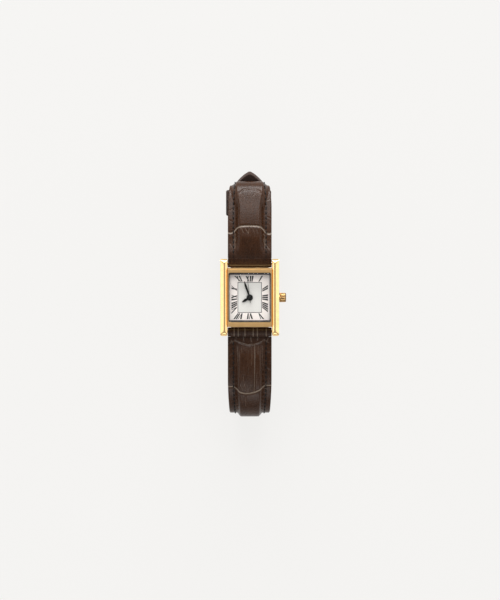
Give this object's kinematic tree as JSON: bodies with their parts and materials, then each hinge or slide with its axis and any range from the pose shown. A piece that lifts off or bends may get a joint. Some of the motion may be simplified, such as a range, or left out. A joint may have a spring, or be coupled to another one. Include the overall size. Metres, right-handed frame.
{
  "type": "wristwatch",
  "caption": "Small rectangular gold-tone quartz wristwatch with side-bar lugs, Roman dial and a padded crocodile-grain leather strap closed in a loop by a pin buckle.",
  "frame": {"origin": "centre of the case back's flat outer face, under the dial centre", "axes": "+Z out of the dial, +Y towards twelve o'clock, +X towards the crown"},
  "size_m": [0.0208, 0.0775, 0.0312],
  "materials": {
    "gold_plate": "polished gold plate",
    "steel": "turned steel",
    "crystal": "clear mineral glass",
    "clear_gasket": "translucent nylon",
    "black_rubber": "moulded",
    "dial_silver": "silvered",
    "print_black": "pad printed",
    "flange": "polished",
    "holder_plastic": "moulded",
    "movement_brass": "plated, matt",
    "wheel_brass": "stamped",
    "copper": "enamelled wire",
    "battery_steel": "bright",
    "board": "lacquered",
    "hand_black": "gloss black",
    "leather": "embossed crocodile grain, semi-gloss",
    "lining": "smooth matt leather",
    "padding": "felt",
    "thread": "waxed thread"
  },
  "bodies": {
    "watch": {"case_body": "gold_plate", "bezel": "gold_plate", "crystal": "crystal", "crystal_gasket": "clear_gasket", "dial_flange": "flange", "dial": "dial_silver", "dial_print": "print_black", "case_back": "gold_plate", "case_back_gasket": "black_rubber", "crown_tube": "gold_plate", "movement_holder": "holder_plastic", "main_plate": "movement_brass", "train_bridge": "movement_brass", "coil": "copper", "stator": "steel", "circuit_board": "board", "quartz_can": "battery_steel", "battery": "battery_steel", "battery_clamp": "wheel_brass", "strap_top_outer": "leather", "strap_top_lining": "lining", "strap_top_padding": "padding", "strap_top_stitching": "thread", "strap_top_bar_loop": "leather", "strap_buckle_loop": "leather", "strap_bottom_outer": "leather", "strap_bottom_lining": "lining", "strap_bottom_padding": "padding", "strap_bottom_stitching": "thread", "strap_bottom_bar_loop": "leather", "strap_tail": "leather", "fixed_keeper": "leather", "buckle_bar": "steel", "spring_bar_top": "steel", "spring_bar_bottom": "steel", "bar_spring_top": "steel", "bar_spring_bottom": "steel"},
    "rotor": {"rotor": "steel"},
    "intermediate": {"intermediate_wheel": "wheel_brass"},
    "seconds": {"seconds_wheel": "wheel_brass", "seconds_hand": "steel"},
    "third": {"third_wheel": "wheel_brass"},
    "minutes": {"centre_wheel": "wheel_brass", "minute_hand": "hand_black"},
    "motion": {"minute_wheel": "wheel_brass"},
    "hours": {"hour_wheel": "wheel_brass", "hour_hand": "hand_black"},
    "crown_slide": {"crown_gasket": "black_rubber"},
    "crown": {"crown": "gold_plate", "stem": "steel", "sliding_pinion": "steel"},
    "setting_lever": {"setting_lever": "steel"},
    "free_keeper": {"free_keeper": "leather"},
    "buckle_frame": {"buckle_frame": "gold_plate"},
    "buckle_tongue": {"buckle_tongue": "gold_plate"},
    "tip_top_left": {"bar_tip_top_left": "steel"},
    "tip_top_right": {"bar_tip_top_right": "steel"},
    "tip_bottom_left": {"bar_tip_bottom_left": "steel"},
    "tip_bottom_right": {"bar_tip_bottom_right": "steel"}
  },
  "joints": [
    {"name": "seconds_spin", "type": "hinge", "parent": "watch", "child": "seconds", "pos_m": [0, 0, 0], "axis": [0, 0, -1], "continuous": true},
    {"name": "rotor_spin", "type": "hinge", "parent": "watch", "child": "rotor", "pos_m": [-0.00215, 0.00285, 0], "axis": [0, 0, -1], "continuous": true},
    {"name": "intermediate_spin", "type": "hinge", "parent": "watch", "child": "intermediate", "pos_m": [-0.00121, 0.00121, 0], "axis": [0, 0, -1], "continuous": true},
    {"name": "third_spin", "type": "hinge", "parent": "watch", "child": "third", "pos_m": [0.00115, 0.00115, 0], "axis": [0, 0, -1], "continuous": true},
    {"name": "minutes_spin", "type": "hinge", "parent": "watch", "child": "minutes", "pos_m": [0, 0, 0], "axis": [0, 0, -1], "continuous": true},
    {"name": "motion_spin", "type": "hinge", "parent": "watch", "child": "motion", "pos_m": [0.0009, 0.00156, 0], "axis": [0, 0, -1], "continuous": true},
    {"name": "hours_spin", "type": "hinge", "parent": "watch", "child": "hours", "pos_m": [0, 0, 0], "axis": [0, 0, -1], "continuous": true},
    {"name": "crown_pull", "type": "slide", "parent": "watch", "child": "crown_slide", "axis": [1, 0, 0], "range_m": [0, 0.0008]},
    {"name": "crown_spin", "type": "hinge", "parent": "crown_slide", "child": "crown", "pos_m": [0.01, 0, 0.0029], "axis": [1, 0, 0], "continuous": true},
    {"name": "setting_lever_swing", "type": "hinge", "parent": "watch", "child": "setting_lever", "pos_m": [0.0052, -0.0022, 0.0029], "axis": [0, 0, -1], "range_deg": [0, 24.5]},
    {"name": "keeper_slide", "type": "slide", "parent": "watch", "child": "free_keeper", "axis": [0, -0.766, -0.6428], "range_m": [-0.0003, 0.003]},
    {"name": "buckle_frame_swing", "type": "hinge", "parent": "watch", "child": "buckle_frame", "pos_m": [0, 0.008, -0.021], "axis": [1, 0, 0], "range_deg": [0, 2.5]},
    {"name": "buckle_tongue_swing", "type": "hinge", "parent": "buckle_frame", "child": "buckle_tongue", "pos_m": [0, 0.008, -0.021], "axis": [1, 0, 0], "range_deg": [0, 3]},
    {"name": "tip_top_left_press", "type": "slide", "parent": "watch", "child": "tip_top_left", "axis": [1, 0, 0], "range_m": [0, 0.0009], "stiffness_N_per_m": 800, "springref_m": -0.0005, "deforming": ["bar_spring_top"]},
    {"name": "tip_top_right_press", "type": "slide", "parent": "watch", "child": "tip_top_right", "axis": [-1, 0, 0], "range_m": [0, 0.0009], "stiffness_N_per_m": 800, "springref_m": -0.0005},
    {"name": "tip_bottom_left_press", "type": "slide", "parent": "watch", "child": "tip_bottom_left", "axis": [1, 0, 0], "range_m": [0, 0.0009], "stiffness_N_per_m": 800, "springref_m": -0.0005, "deforming": ["bar_spring_bottom"]},
    {"name": "tip_bottom_right_press", "type": "slide", "parent": "watch", "child": "tip_bottom_right", "axis": [-1, 0, 0], "range_m": [0, 0.0009], "stiffness_N_per_m": 800, "springref_m": -0.0005}
  ],
  "couplings": [
    {"joint": "rotor_spin", "follows": "seconds_spin", "ratio": 30},
    {"joint": "intermediate_spin", "follows": "seconds_spin", "ratio": -3.75},
    {"joint": "third_spin", "follows": "seconds_spin", "ratio": -0.13333},
    {"joint": "minutes_spin", "follows": "seconds_spin", "ratio": 0.016667},
    {"joint": "motion_spin", "follows": "seconds_spin", "ratio": -0.0055556},
    {"joint": "hours_spin", "follows": "seconds_spin", "ratio": 0.0013889},
    {"joint": "setting_lever_swing", "follows": "crown_pull", "rad_per_m": 526.3}
  ]
}
